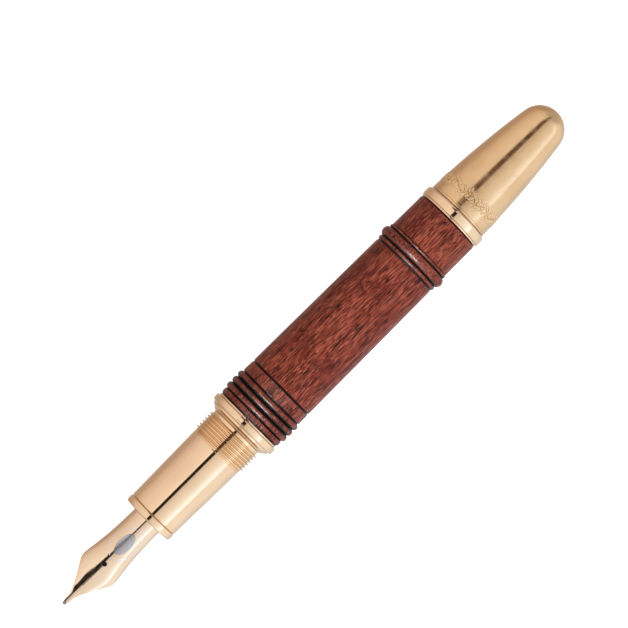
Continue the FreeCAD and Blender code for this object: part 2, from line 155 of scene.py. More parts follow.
# Mechanism's housing, with the thread on its tail, which the knob climbs
SEAT_R = 4.14
SPINDLE_BORE_R = 3.34
TAIL_R = 4.55
TAIL_THREAD_X = KNOB_X + 0.3
TAIL_THREADED_R = TAIL_R - 0.35     # the thread is on what lies further out
TAIL_THREAD_DEPTH = 0.2
TAIL_THREAD_MOUTH = 0.27
TAIL_THREAD_FLOOR = 0.05
TAIL_LEAD = 0.686

RING_SEGMENTS = 256
KNOB_SEGMENTS = 600
EDGE = 0.035                # how much a turned corner is broken


def in_frame(x, y, up):
    """Points of the frame, in metres, from mm along, across and above the pen's axis."""
    return np.stack([TIP_X + x * MM, y * MM, AXIS_Z + up * MM], axis=-1)


# ---- turned shapes ---------------------------------------------------------------
def arc_points(a, b, c, step=6.0, longest=1.5):
    """Points after a, up to c, on the circle through a, b and c, at most step degrees
    and about longest mm apart."""
    a, b, c = (np.array(p, float) for p in (a, b, c))
    ab, ac = b - a, c - a
    cross = 2 * (ab[0] * ac[1] - ab[1] * ac[0])
    along = (ac[1] * (ab @ ab) - ab[1] * (ac @ ac)) / cross
    across = (ab[0] * (ac @ ac) - ac[0] * (ab @ ab)) / cross
    centre = a + np.array([along, across])
    radius = math.dist(a, centre)
    first = math.atan2(a[1] - centre[1], a[0] - centre[0])
    turn = math.atan2(c[1] - centre[1], c[0] - centre[0]) - first
    if cross > 0:
        turn = turn % (2 * math.pi)
    else:
        turn = -(-turn % (2 * math.pi))
    count = max(2, math.ceil(abs(math.degrees(turn)) / step), math.ceil(radius * abs(turn) / longest))
    angles = first + turn * np.arange(1, count + 1) / count
    return [(centre[0] + radius * math.cos(t), centre[1] + radius * math.sin(t)) for t in angles]


def outline(start, *steps):
    """A closed profile. Each step is a point (x, r), or an arc given as (point on the
    arc, end point)."""
    points = [start]
    for step in steps:
        if isinstance(step[0], tuple):
            points += arc_points(points[-1], *step)
        else:
            points.append(step)
    return points


def broken_edges(points, size=EDGE, sharp=20):
    """The profile with each corner of at least sharp degrees rounded off."""
    soft = []
    count = len(points)
    for k, here in enumerate(points):
        here = np.array(here, float)
        back = np.array(points[k - 1], float) - here
        ahead = np.array(points[(k + 1) % count], float) - here
        back_length, ahead_length = np.linalg.norm(back), np.linalg.norm(ahead)
        straight = -(back @ ahead) / (back_length * ahead_length)
        turn = math.degrees(math.acos(np.clip(straight, -1, 1)))
        if turn < sharp or here[1] < 1e-6:
            soft.append(tuple(here))
            continue
        cut = min(size, 0.4 * back_length, 0.4 * ahead_length)
        a = here + back / back_length * cut
        b = here + ahead / ahead_length * cut
        for t in np.linspace(0, 1, 6):
            soft.append(tuple((1 - t) ** 2 * a + 2 * t * (1 - t) * here + t ** 2 * b))
    return soft


def held_flats(points, hold=0.05):
    """The profile with a point close to both ends of each long straight stretch, which
    keeps the smooth shading of the corners off it."""
    held = []
    count = len(points)
    for k, here in enumerate(points):
        here = np.array(here, float)
        ahead = np.array(points[(k + 1) % count], float) - here
        length = np.linalg.norm(ahead)
        held.append(tuple(here))
        if length > 4 * hold:
            held.append(tuple(here + ahead * hold / length))
            held.append(tuple(here + ahead * (1 - hold / length)))
    return held


def divided(points, x0, x1, least_r, step):
    """The profile with extra points, step apart, on its outside between x0 and x1."""
    fine = []
    total = len(points)
    for k, here in enumerate(points):
        there = points[(k + 1) % total]
        fine.append(here)
        apart = min(here[0], there[0]) > x1 or max(here[0], there[0]) < x0
        if apart or min(here[1], there[1]) < least_r:
            continue
        count = math.ceil(math.dist(here, there) / step)
        for t in np.arange(1, count) / count:
            x = here[0] + (there[0] - here[0]) * t
            if x0 < x < x1:
                fine.append((x, here[1] + (there[1] - here[1]) * t))
    return fine


def groove_depths(profile, beside, flank_shade, reach=1.4):
    """For each point of a profile, how far it lies below the lower of the two walls within reach of it, in
    mm. It is above 0 only in a groove, and up to flank more where the profile is steep: that extra is
    painted shade, which darkens the steep flanks of the wooden beads. beside is the radius of the pieces
    at both ends."""
    first, last = profile[:, 0].min(), profile[:, 0].max()
    run, rise = (np.roll(profile, -1, axis=0) - np.roll(profile, 1, axis=0)).T
    # Painted shade: steep flanks count as deeper, so that they are painted darker.
    steep = flank_shade * np.clip(np.abs(rise) / np.maximum(np.abs(run), 1e-6) - 0.5, 0, 1)
    depths = []
    for x, r in profile:
        near = np.abs(profile[:, 0] - x) < reach
        left = profile[near & (profile[:, 0] <= x), 1].max()
        right = profile[near & (profile[:, 0] >= x), 1].max()
        if x - first < reach:
            left = max(left, beside)
        if last - x < reach:
            right = max(right, beside)
        depths.append(max(0.0, min(left, right) - r))
    return np.array(depths) + steep


def revolved(points, segments, relief=None, beside=0.0, flank_shade=0.0):
    """A closed profile turned about the pen's axis: its points, its faces, and how deep
    each point lies in a groove, or below 0 how far it is raised. relief(x, r, angle)
    gives the radius of a pattern cut in the surface. The angle is measured from straight
    up towards +Y. beside and flank are as in groove_depths()."""
    profile = np.array(points, float)
    rows = len(profile)
    angle = np.linspace(0, 2 * math.pi, segments, endpoint=False)[None, :]
    x = np.repeat(profile[:, :1], segments, axis=1)
    r = np.repeat(profile[:, 1:], segments, axis=1)
    sunk = np.repeat(groove_depths(profile, beside, flank_shade)[:, None], segments, axis=1)
    if relief:
        plain = r
        r = relief(x, r, angle)
        sunk = sunk + plain - r
    places = in_frame(x, r * np.sin(angle), r * np.cos(angle)).reshape(-1, 3)
    row, column = np.meshgrid(np.arange(rows), np.arange(segments), indexing="ij")
    next_row, next_column = (row + 1) % rows, (column + 1) % segments
    corners = [
        row * segments + column,
        row * segments + next_column,
        next_row * segments + next_column,
        next_row * segments + column,
    ]
    faces = np.stack(corners, axis=-1).reshape(-1, 4)
    return places, faces, sunk.ravel()


# ---- pieces ----------------------------------------------------------------------
def add_piece(name, places, faces, sunk, material, body, node, sharp=35):
    """A closed, smooth-shaded mesh that rides on a body and stands for a CAD node. sunk
    is each point's depth in a groove, in mm, which the materials read."""
    mesh = bpy.data.meshes.new(name)
    mesh.from_pydata(places.tolist(), [], [list(f) for f in faces])
    depth = mesh.attributes.new("sunk", "FLOAT", "POINT")
    depth.data.foreach_set("value", np.broadcast_to(sunk, len(places)).astype(np.float32))
    work = bmesh.new()
    work.from_mesh(mesh)
    bmesh.ops.remove_doubles(work, verts=work.verts, dist=1e-8)
    bmesh.ops.recalc_face_normals(work, faces=work.faces)
    work.to_mesh(mesh)
    work.free()
    mesh.shade_smooth()
    mesh.set_sharp_from_angle(angle=math.radians(sharp))
    mesh.materials.append(material)
    piece = bpy.data.objects.new(name, mesh)
    bpy.context.scene.collection.objects.link(piece)
    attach(piece, body)
    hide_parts(node)
    return piece


def add_turned(name, points, material, body, node, beside=0.0, flank_shade=0.0):
    profile = held_flats(broken_edges(points))
    places, faces, sunk = revolved(profile, RING_SEGMENTS, beside=beside, flank_shade=flank_shade)
    return add_piece(name, places, faces, sunk, material, body, node)


# ---- material nodes --------------------------------------------------------------
def new_material(name):
    """An empty node material, and its tree."""
    material = bpy.data.materials.new(name)
    material.use_nodes = True
    material.node_tree.nodes.clear()
    return material, material.node_tree


def add_node(tree, kind, inputs=None, **settings):
    """A shader node. inputs maps an input's name or number to a value or to the socket
    that feeds it."""
    made = tree.nodes.new(kind)
    for key, value in settings.items():
        setattr(made, key, value)
    for key, value in (inputs or {}).items():
        if isinstance(value, bpy.types.NodeSocket):
            tree.links.new(value, made.inputs[key])
        else:
            made.inputs[key].default_value = value
    return made


def calculate(tree, operation, a, b=0.0):
    """The result of a sum in the shader."""
    return add_node(tree, "ShaderNodeMath", {0: a, 1: b}, operation=operation).outputs[0]


def blended(tree, share, a, b):
    """Colour a turning into colour b as share goes from 0 to 1."""
    return add_node(tree, "ShaderNodeMix", {0: share, 6: a, 7: b}, data_type="RGBA").outputs[2]


def ramped(tree, value, low, high, out_low=0.0, out_high=1.0, smooth=True):
    """value from low to high, turned into out_low to out_high."""
    kind = "SMOOTHSTEP" if smooth else "LINEAR"
    inputs = {"Value": value, "From Min": low, "From Max": high, "To Min": out_low, "To Max": out_high}
    made = add_node(tree, "ShaderNodeMapRange", inputs, interpolation_type=kind)
    return made.outputs[0]


def noise(tree, place, along, across, detail, roughness=0.5):
    """A noise node whose features are about along long and across wide, in place's unit."""
    scale = (1 / along, 1 / across, 1 / across)
    stretched = add_node(tree, "ShaderNodeMapping", {"Vector": place, "Scale": scale}).outputs[0]
    inputs = {"Vector": stretched, "Scale": 1.0, "Detail": detail, "Roughness": roughness}
    return add_node(tree, "ShaderNodeTexNoise", inputs)


def grain(tree, along, across, detail, roughness=0.5):
    """Noise whose features are about along mm long and across mm wide."""
    place = add_node(tree, "ShaderNodeTexCoord").outputs["Object"]
    return noise(tree, place, along * MM, across * MM, detail, roughness).outputs["Fac"]


def bumped(tree, height, depth):
    """A bump of depth mm for a height that goes from 0 to 1."""
    inputs = {"Height": height, "Distance": depth * MM, "Strength": 1.0}
    return add_node(tree, "ShaderNodeBump", inputs).outputs[0]


def finished(material, tree, inputs):
    """The material, with its principled shader put in."""
    shader = add_node(tree, "ShaderNodeBsdfPrincipled", inputs)
    add_node(tree, "ShaderNodeOutputMaterial", {"Surface": shader.outputs[0]})
    return material


def in_groove(tree, shallow, deep, most):
    """From 0 at a depth of shallow to most at a depth of deep, both in mm."""
    sunk = add_node(tree, "ShaderNodeAttribute", attribute_name="sunk").outputs["Fac"]
    return ramped(tree, sunk, shallow, deep, 0.0, most)


def metal(name, colour, dark, roughness, rough_spread, brush_depth, old_at=0.1, old=0.75):
    """Turned and polished metal: fine lines run round the pen, with faint patches of tone and of gloss, an
    old, darker tone in its grooves, and a paler tone on what is raised, which is partly rubbed wear and
    partly a painted highlight. The old tone is complete, with a share of old, old_at mm deep."""
    material, tree = new_material(name)
    tone = ramped(tree, grain(tree, 6.0, 6.0, detail=4.0), 0.35, 0.7)
    base = blended(tree, tone, colour, dark)
    base = blended(tree, in_groove(tree, 0.0, old_at, old), base, OLD_GOLD)
    # Painted highlight: what is raised, such as the garland's leaves, is painted paler, partly as rubbed
    # wear.
    base = blended(tree, in_groove(tree, -0.01, -0.06, 0.5), base, RUBBED_HIGHLIGHT_GOLD)
    lines = grain(tree, 0.05, 4.0, detail=2.0)
    wipes = grain(tree, 1.2, 1.2, detail=5.0, roughness=0.6)
    rough = ramped(tree, wipes, 0.3, 0.75, roughness - rough_spread, roughness + rough_spread)
    inputs = {
        "Base Color": base,
        "Metallic": 1.0,
        "Roughness": rough,
        "Normal": bumped(tree, lines, brush_depth),
    }
    return finished(material, tree, inputs)


def moulded(name, colour, dark, roughness, speck=0.25, depth=0.004, metallic=0.0, specular=0.5):
    """Moulded or machined plastic, rubber or hard ebonite with a fine matt skin."""
    material, tree = new_material(name)
    tone = grain(tree, 2.5, 2.5, detail=3.0)
    skin = grain(tree, speck, speck, detail=4.0, roughness=0.6)
    inputs = {
        "Base Color": blended(tree, tone, colour, dark),
        "Metallic": metallic,
        "Specular IOR Level": specular,
        "Roughness": ramped(tree, skin, 0.3, 0.7, roughness * 0.8, roughness * 1.2),
        "Normal": bumped(tree, skin, depth),
    }
    return finished(material, tree, inputs)


# ---- materials -------------------------------------------------------------------
GOLD = (0.63, 0.445, 0.285, 1)
GOLD_DEEP = (0.6, 0.415, 0.26, 1)
SATIN_GOLD = (0.56, 0.365, 0.2, 1)
SATIN_GOLD_DEEP = (0.52, 0.33, 0.175, 1)
NIB_GOLD = (0.62, 0.46, 0.32, 1)
NIB_GOLD_DEEP = (0.59, 0.43, 0.29, 1)
RHODIUM = (0.36, 0.335, 0.335, 1)
BORDER_PLATE = (0.55, 0.46, 0.42, 1)
OLD_GOLD = (0.55, 0.28, 0.085, 1)
# paler tone painted on raised relief: partly rubbed wear, partly painted highlight
RUBBED_HIGHLIGHT_GOLD = (0.72, 0.52, 0.33, 1)


def rosewood():
    """Dark red wood with its grain along the pen: broad clouds, fine fibres, and short dark pores that are
    slightly sunk. The turned grooves and the steep flanks of the beads are painted nearly black, as
    painted shade."""
    material, tree = new_material("rosewood")

    def vectors(operation, a, b):
        return add_node(tree, "ShaderNodeVectorMath", {0: a, 1: b}, operation=operation).outputs[0]

    place = add_node(tree, "ShaderNodeTexCoord").outputs["Object"]
    mm = vectors("MULTIPLY", place, (1 / MM,) * 3)

    def pushed(vector, along, across, reach):
        """The place swayed sideways by up to reach mm, so that the grain isn't straight."""
        sway = noise(tree, mm, along, across, 1.0).outputs["Color"]
        centred = vectors("SUBTRACT", sway, (0.5, 0.5, 0.5))
        return vectors("ADD", vector, vectors("MULTIPLY", centred, (0.0, reach, reach)))

    swayed = pushed(pushed(mm, 14.0, 3.5, 1.3), 5.0, 1.2, 0.14)

    def streaks(along, across, detail=1.0):
        return noise(tree, swayed, along, across, detail).outputs["Fac"]

    clouds = ramped(tree, streaks(12.0, 1.7, 3.0), 0.36, 0.64)
    bands = ramped(tree, streaks(9.0, 0.4, 2.0), 0.5, 0.66)
    fibres = ramped(tree, streaks(6.0, 0.12), 0.4, 0.58)
    veins = ramped(tree, streaks(4.0, 0.12), 0.55, 0.6)
    pores = ramped(tree, streaks(1.4, 0.11), 0.56, 0.61)
    flecks = ramped(tree, streaks(2.0, 0.11), 0.52, 0.62)
    base = blended(tree, clouds, (0.25, 0.034, 0.02, 1), (0.47, 0.1, 0.056, 1))
    for mark, most, colour in (
        (flecks, 0.55, (0.9, 0.27, 0.15, 1)),
        (fibres, 0.55, (0.12, 0.015, 0.009, 1)),
        (bands, 0.35, (0.06, 0.008, 0.006, 1)),
        (veins, 0.9, (0.01, 0.0025, 0.0025, 1)),
        (pores, 0.9, (0.006, 0.002, 0.002, 1)),
    ):
        base = blended(tree, calculate(tree, "MULTIPLY", mark, most), base, colour)
    # Painted shade: the deeper in a groove, and the steeper a flank, the nearer to black.
    base = blended(tree, in_groove(tree, 0.0, 0.11, 0.97), base, (0.003, 0.0015, 0.0015, 1))
    height = calculate(tree, "SUBTRACT", calculate(tree, "MULTIPLY", fibres, -0.3), pores)
    inputs = {
        "Base Color": base,
        "Roughness": ramped(tree, fibres, 0.0, 1.0, 0.3, 0.42),
        "Specular IOR Level": 0.08,
        "Normal": bumped(tree, height, 0.012),
    }
    return finished(material, tree, inputs)


gold = metal("gold", GOLD, GOLD_DEEP, 0.07, 0.025, 0.0006)
satin_gold = metal("satin_gold", SATIN_GOLD, SATIN_GOLD_DEEP, 0.2, 0.05, 0.002, 0.05, 0.55)
nib_gold = metal("nib_gold", NIB_GOLD, NIB_GOLD_DEEP, 0.09, 0.03, 0.0005)
tipping = moulded("tipping_metal", (0.26, 0.255, 0.25, 1), (0.18, 0.175, 0.175, 1), 0.16, 0.1, 0.003, 1.0)
wood = rosewood()
ebonite = moulded(
    "feed_ebonite", (0.006, 0.006, 0.006, 1), (0.012, 0.011, 0.011, 1), 0.45, 0.15, 0.006, specular=0.15)
mechanism_resin = moulded("mechanism_resin", (0.03, 0.03, 0.033, 1), (0.05, 0.05, 0.053, 1), 0.35)
core_resin = moulded("core_resin", (0.09, 0.08, 0.075, 1), (0.05, 0.045, 0.04, 1), 0.3)
rubber = moulded("seal_rubber", (0.015, 0.015, 0.016, 1), (0.03, 0.03, 0.03, 1), 0.6, 0.1, 0.008)
washer = moulded("washer_ptfe", (0.82, 0.81, 0.78, 1), (0.74, 0.73, 0.7, 1), 0.45)
brass = metal("mechanism_brass", (0.72, 0.5, 0.22, 1), (0.6, 0.4, 0.17, 1), 0.22, 0.06, 0.003)

CAD_FINISHES = {
    "feed": ebonite,
    "nib_collar": mechanism_resin,
    "section_seal": rubber,
    "housing_seal": rubber,
    "piston_seals": rubber,
    "barrel_core": core_resin,
    "rod_guide": brass,
    "drive_spindle": brass,
    "knob_insert": brass,
    "thrust_washer": washer,
    "piston_head": mechanism_resin,
    "piston_rod": mechanism_resin,
}


# ---- nib -------------------------------------------------------------------------
NIB_SHANK_R = 3.28
NIB_THICK = 0.35            # at the shank

# For each station along the nib: x, half width, ridge height, edge height, thickness,
# how evenly it bends from ridge to edge (from 1 for a round arc down to 0 for a flat
# ridge with all of the bend at the edge), and how many degrees each tine leans at the slit.
NIB_SHAPE = np.array([
    (0.35, 0.42, 0.62, 0.60, 0.52, 0.5, 3.4),
    (2.7, 0.83, 1.00, 0.89, 0.52, 0.4, 3.4),
    (4.25, 1.50, 1.22, 1.04, 0.50, 0.15, 3.2),
    (6.5, 2.74, 1.60, 0.94, 0.46, 0.12, 2.8),
    (8.05, 3.65, 1.85, 0.55, 0.44, 0.16, 2.7),
    (8.8, 4.03, 1.97, 0.25, 0.43, 0.2, 2.6),
    (9.55, 4.19, 2.10, 0.02, 0.42, 0.24, 2.4),
    (10.7, 4.10, 2.30, -0.02, 0.40, 0.3, 1.6),
    (12.6, 3.84, 2.61, -0.03, 0.38, 0.4, 0.4),
    (15.6, 3.52, 3.00, -0.03, 0.36, 0.5, 0.0),
    (19.0, 3.33, 3.25, 0.00, NIB_THICK, 0.85, 0.0),
    (SECTION_X, NIB_SHANK_R, NIB_SHANK_R, 0.00, NIB_THICK, 1.0, 0.0),
    (NIB_END_X, NIB_SHANK_R, NIB_SHANK_R, 0.00, NIB_THICK, 1.0, 0.0),
])
NIB_STEP = 0.09             # between the stations of its mesh
NIB_ROUND = 0.08            # rounding of its outer edge
HOLE_X = 11.0
HOLE_R = 0.48
SLIT = 0.11                 # width at the top
SLIT_FLOOR = 0.02           # width at the underside
SLIT_LIP = 0.14             # width of the flat lip on each side of it
TIP_R = 0.44
TIP_UP = 0.36               # height of the tipping pellet's centre above the axis
MEDALLION_X = 16.35         # centre of the plain oval on the nib
MEDALLION_LONG = 3.85
MEDALLION_WIDE = 2.5
BORDER = (0.91, 0.99)       # the engraved border, as shares of the oval
ENGRAVING = 0.02
PANEL_LONG = 2.6            # the plated field inside it, which is flatter than the nib
PANEL_WIDE = 1.35
PANEL_DEPTH = 0.07
PLATED_UP = 1.9             # the plating is only on what lies higher than this


def through(xs, ys, x):
    """A smooth curve through the stations, with no overshoot between them."""
    step = np.diff(xs)
    slope = np.diff(ys) / step
    before, after = slope[:-1], slope[1:]
    inner = np.where(before * after > 0, 2 * before * after / (before + after + 1e-12), 0)
    tangent = np.concatenate([slope[:1], inner, slope[-1:]])
    k = np.clip(np.searchsorted(xs, x, side="right") - 1, 0, len(step) - 1)
    t = (x - xs[k]) / step[k]
    rise = ys[k] * (1 + 2 * t) * (1 - t) ** 2 + ys[k + 1] * t * t * (3 - 2 * t)
    lean = tangent[k] * t * (1 - t) ** 2 - tangent[k + 1] * t * t * (1 - t)
    return rise + step[k] * lean


def nib_section(half_width, ridge, edge, evenness, crease):
    """The nib's upper outline from ridge to edge: distance from the middle, height, and
    the two parts of its outward normal, at fine steps."""
    s = np.linspace(0, 1, 120)
    first = math.radians(crease)
    full_turn = 2 * math.atan2(ridge - edge, half_width)
    lean = first + (full_turn - first) * (evenness * s + (1 - evenness) * s ** 3)
    lean = lean * np.clip((s * half_width - SLIT / 2) / SLIT_LIP, 0, 1)
    y = np.concatenate([[0], np.cumsum(np.cos((lean[1:] + lean[:-1]) / 2))])
    drop = np.concatenate([[0], np.cumsum(np.sin((lean[1:] + lean[:-1]) / 2))])
    y = y / y[-1] * half_width
    up = ridge - drop / drop[-1] * (ridge - edge)
    slope = np.arctan2(-np.gradient(up), np.gradient(y))
    return y, up, np.sin(slope), np.cos(slope)


def nib_half(side, columns=44):
    """One half of the nib as a grid for its upper and one for its lower surface. Its
    inner edge follows the slit and the hole, and then the middle of the nib."""
    hole = HOLE_X + HOLE_R * np.sin(np.radians(np.arange(-84, 91, 6)))
    stations = np.unique(np.concatenate([
        np.arange(NIB_SHAPE[0, 0], HOLE_X - HOLE_R, NIB_STEP),
        hole,
        np.arange(HOLE_X + HOLE_R + 0.08, SECTION_X + 0.6, NIB_STEP),
        np.linspace(SECTION_X + 0.8, NIB_SHAPE[-1, 0], 24),
    ]))
    shape = [through(NIB_SHAPE[:, 0], NIB_SHAPE[:, n], stations) for n in range(1, 7)]
    in_hole = np.sqrt(np.maximum(HOLE_R ** 2 - (stations - HOLE_X) ** 2, 0))
    inner = np.where(stations < HOLE_X, np.maximum(in_hole, SLIT / 2), in_hole)
    upper, lower = [], []
    for x, start, half_width, ridge, edge, thick, evenness, crease in zip(stations, inner, *shape):
        y_fine, up_fine, out_fine, over_fine = nib_section(half_width, ridge, edge, evenness, crease)
        run = np.concatenate([[0], np.cumsum(np.hypot(np.diff(y_fine), np.diff(up_fine)))])
        from_run = np.interp(start, y_fine, run)
        at = from_run + (run[-1] - from_run) * np.linspace(0, 1, columns) ** 0.9
        y, up, out, over = (np.interp(at, run, f) for f in (y_fine, up_fine, out_fine, over_fine))
        out[0] = 0 if start == 0 else out[0]
        oval = np.hypot((x - MEDALLION_X) / MEDALLION_LONG, y / MEDALLION_WIDE)
        middle, half = sum(BORDER) / 2, (BORDER[1] - BORDER[0]) / 2
        cut = ENGRAVING * np.clip(1 - ((oval - middle) / half) ** 2, 0, 1)
        panel = ((x - MEDALLION_X) / PANEL_LONG) ** 2 + (y / PANEL_WIDE) ** 2
        cut = cut + PANEL_DEPTH * np.clip(1 - panel, 0, 1)
        near_edge = np.clip(1 - (run[-1] - at) / NIB_ROUND, 0, 1)
        cut = cut + NIB_ROUND * (1 - np.sqrt(1 - near_edge ** 2))
        along = np.full(columns, x)
        upper.append(in_frame(along, side * (y - cut * out), up - cut * over))
        under = y - thick * out
        under[0] = max(under[0] - (SLIT - SLIT_FLOOR) / 2, 0)
        lower.append(in_frame(along, side * under, up - thick * over))
    return np.array(upper), np.array(lower)


def quads(number):
    """Faces of a grid of point numbers."""
    a, b, c, d = number[:-1, :-1], number[1:, :-1], number[1:, 1:], number[:-1, 1:]
    return np.stack([a, b, c, d], axis=-1).reshape(-1, 4).tolist()


def strip(one, other):
    """Faces between two rows of point numbers."""
    return np.stack([one[:-1], one[1:], other[1:], other[:-1]], axis=-1).tolist()


def build_nib(material):
    places, faces = [], []
    for side in (1, -1):
        upper, lower = nib_half(side)
        rows, columns = upper.shape[:2]
        start = sum(len(p) for p in places)
        places += [upper.reshape(-1, 3), lower.reshape(-1, 3)]
        number = np.arange(rows * columns).reshape(rows, columns) + start
        under = number + rows * columns
        faces += quads(number) + quads(under)
        faces += strip(number[0], under[0]) + strip(number[-1], under[-1])
        faces += strip(number[:, -1], under[:, -1])
        open_edge = upper[:, 0, 1] * side > 1e-7
        last = np.nonzero(open_edge)[0].max() + 2
        faces += strip(number[:last, 0], under[:last, 0])
    places = np.concatenate(places)
    return add_piece("nib_sheet", places, faces, 0.0, material, "barrel", "nib", sharp=40)


def build_tipping(material):
    """Two halves of a ball, flat where the slit parts them."""
    places, faces = [], []
    segments, rows = 64, 24
    turn = np.linspace(0, 2 * math.pi, segments, endpoint=False)
    for side in (1, -1):
        start = len(places) * segments
        lowest = math.asin(SLIT_FLOOR / 2 / TIP_R)
        for latitude in np.linspace(lowest, math.pi / 2 - 0.02, rows):
            ring_r = TIP_R * math.cos(latitude)
            y = np.full(segments, side * TIP_R * math.sin(latitude))
            places.append(in_frame(TIP_R + ring_r * np.cos(turn), y, TIP_UP + ring_r * np.sin(turn)))
        number = np.arange(rows * segments).reshape(rows, segments) + start
        faces += quads(np.concatenate([number, number[:, :1]], axis=1))
        faces += [number[0].tolist(), number[-1].tolist()]
    places = np.concatenate(places)
    return add_piece("tipping_pellet", places, faces, 0.0, material, "barrel", "nib_tipping")


def medallion_nib(material):
    """Adds the plated field and its border line to the nib's gold."""
    tree = material.node_tree
    shader = next(n for n in tree.nodes if n.type == "BSDF_PRINCIPLED")
    place = add_node(tree, "ShaderNodeTexCoord").outputs["Object"]
    x, y, up = add_node(tree, "ShaderNodeSeparateXYZ", {0: place}).outputs

    def squared(value):
        return calculate(tree, "POWER", value, 2.0)

    def oval(long, wide):
        """How far out each place is, as a share of the oval with these half lengths."""
        ahead = calculate(tree, "SUBTRACT", x, TIP_X + MEDALLION_X * MM)
        along = calculate(tree, "DIVIDE", ahead, long * MM)
        across = calculate(tree, "DIVIDE", y, wide * MM)
        return calculate(tree, "SQRT", calculate(tree, "ADD", squared(along), squared(across)))

    field = ramped(tree, oval(PANEL_LONG, PANEL_WIDE), 1.02, 0.96)
    border = oval(MEDALLION_LONG, MEDALLION_WIDE)
    after_start = ramped(tree, border, BORDER[0] - 0.01, BORDER[0] + 0.01)
    before_end = ramped(tree, border, BORDER[1] + 0.01, BORDER[1] - 0.01)
    line = calculate(tree, "MULTIPLY", after_start, before_end)
    on_top = calculate(tree, "GREATER_THAN", up, AXIS_Z + PLATED_UP * MM)
    plain = shader.inputs["Base Color"].links[0].from_socket
    base = blended(tree, calculate(tree, "MULTIPLY", line, on_top), plain, BORDER_PLATE)
    base = blended(tree, calculate(tree, "MULTIPLY", field, on_top), base, RHODIUM)
    tree.links.new(base, shader.inputs["Base Color"])
    gloss = shader.inputs["Roughness"].links[0].from_socket
    satin = calculate(tree, "ADD", gloss, calculate(tree, "MULTIPLY", field, 0.16))
    tree.links.new(satin, shader.inputs["Roughness"])
    return material


# ---- grip ------------------------------------------------------------------------
def build_front_ring():
    edge = 0.42
    points = outline(
        (SECTION_X, NIB_BORE_R),
        (SECTION_X, LIP_R - edge),
        ((SECTION_X + 0.12, LIP_R - 0.12), (SECTION_X + edge, LIP_R)),
        (GRIP_X - 0.24, LIP_R),
        (GRIP_X, LIP_R - 0.26),
        (GRIP_X, SPIGOT_R),
        (SLEEVE_X, SPIGOT_R),
        (SLEEVE_X, NIB_BORE_R),
    )
    return add_turned("front_ring_turned", points, gold, "barrel", "front_ring")


def helix_groove(x, angle, lead, starts, mouth, floor):
    """How deep a thread's groove is, from 0 on the crest to 1 on the root. mouth and
    floor are half widths."""
    pitch = lead / starts
    turned_by = (math.pi / 2 - angle) / (2 * math.pi) * lead
    off = np.abs((x - turned_by + pitch / 2) % pitch - pitch / 2)
    t = np.clip((mouth - off) / (mouth - floor), 0, 1)
    return t * t * (3 - 2 * t)


def cap_thread(x, r, angle):
    """Cuts the cap thread's two grooves in the grip's raised band."""
    groove = helix_groove(
        x - THREAD_PHASE, angle, THREAD_LEAD, THREAD_STARTS, THREAD_MOUTH, THREAD_FLOOR)
    within = (x > THREAD_X - 0.1) & (x < THREAD_END_X + 0.1) & (r > THREAD_ROOT_R)
    return np.where(within, r - groove * (r - THREAD_ROOT_R), r)


def seal_groove(seal, surface_r):
    """Profile points of a groove for a rubber ring."""
    start, end, floor_r = seal
    return (start, surface_r), (start, floor_r), (end, floor_r), (end, surface_r)


def build_grip():
    """The grip with its cap thread, the neck behind it, and the shank inside the barrel."""
    points = outline(
        (GRIP_X, SPIGOT_R),
        (GRIP_X, GRIP_FRONT_R - 0.12),
        (GRIP_X + 0.15, GRIP_FRONT_R),
        (THREAD_X - 0.5, GRIP_REAR_R),
        (THREAD_X - 0.4, NECK_R),
        (THREAD_X, NECK_R),
        (THREAD_X + 0.18, THREAD_R),
        (THREAD_END_X - 0.18, THREAD_R),
        (THREAD_END_X, NECK_R),
        (CORE_X, NECK_R),
        (CORE_X, SHANK_R),
        *seal_groove(SECTION_SEAL, SHANK_R),
        (SHANK_END_X, SHANK_R),
        (SHANK_END_X, PASSAGE_R),
        (SLEEVE_END_X, PASSAGE_R),
        (SLEEVE_END_X, SLEEVE_REAR_R),
        (SLEEVE_STEP_X, SLEEVE_REAR_R),
        (SLEEVE_STEP_X, SLEEVE_R),
        (SLEEVE_X, SLEEVE_R),
        (SLEEVE_X, SPIGOT_R),
    )
    points = held_flats(broken_edges(points))
    points = divided(points, THREAD_X - 0.1, THREAD_END_X + 0.1, NECK_R - 0.1, 0.028)
    places, faces, sunk = revolved(points, RING_SEGMENTS, cap_thread)
    return add_piece("grip_threaded", places, faces, sunk, gold, "barrel", "grip_section")


# ---- barrel ----------------------------------------------------------------------
def build_collar():
    x = COLLAR_X
    points = outline(
        (x, NECK_R + 0.02),
        (x, 5.84),
        ((x + 0.22, 6.24), (x + 0.5, 6.5)),
        (x + 0.8, 7.02),
        (x + 1.25, 7.16),
        (x + 1.3, 7.4),
        ((x + 1.42, 7.6), (x + 1.75, COLLAR_R)),
        (x + 2.45, COLLAR_R),
        ((x + 2.65, 7.62), (x + 2.74, 7.42)),
        (x + 2.74, 7.2),
        (x + 2.8, 7.2),
        (x + 2.84, 7.28),
        (x + 3.05, 7.28),
        (WOOD_X, 7.2),
        (WOOD_X, CORE_R),
        (CORE_X, CORE_R),
        (CORE_X, NECK_R + 0.02),
    )
    return add_turned("barrel_collar_turned", points, gold, "barrel", "barrel_collar")


def add_wood(name, points, node, beside):
    """A wooden sleeve. beside is the radius of the wood next to it."""
    # flank adds painted shade to the steep flanks of the beads.
    return add_turned(name, points, wood, "barrel", node, beside, flank_shade=0.12)


def bead(x0, x1, foot, crest):
    """Arc step over a round bead from x0 to x1."""
    return (((x0 + x1) / 2, crest), (x1, foot))


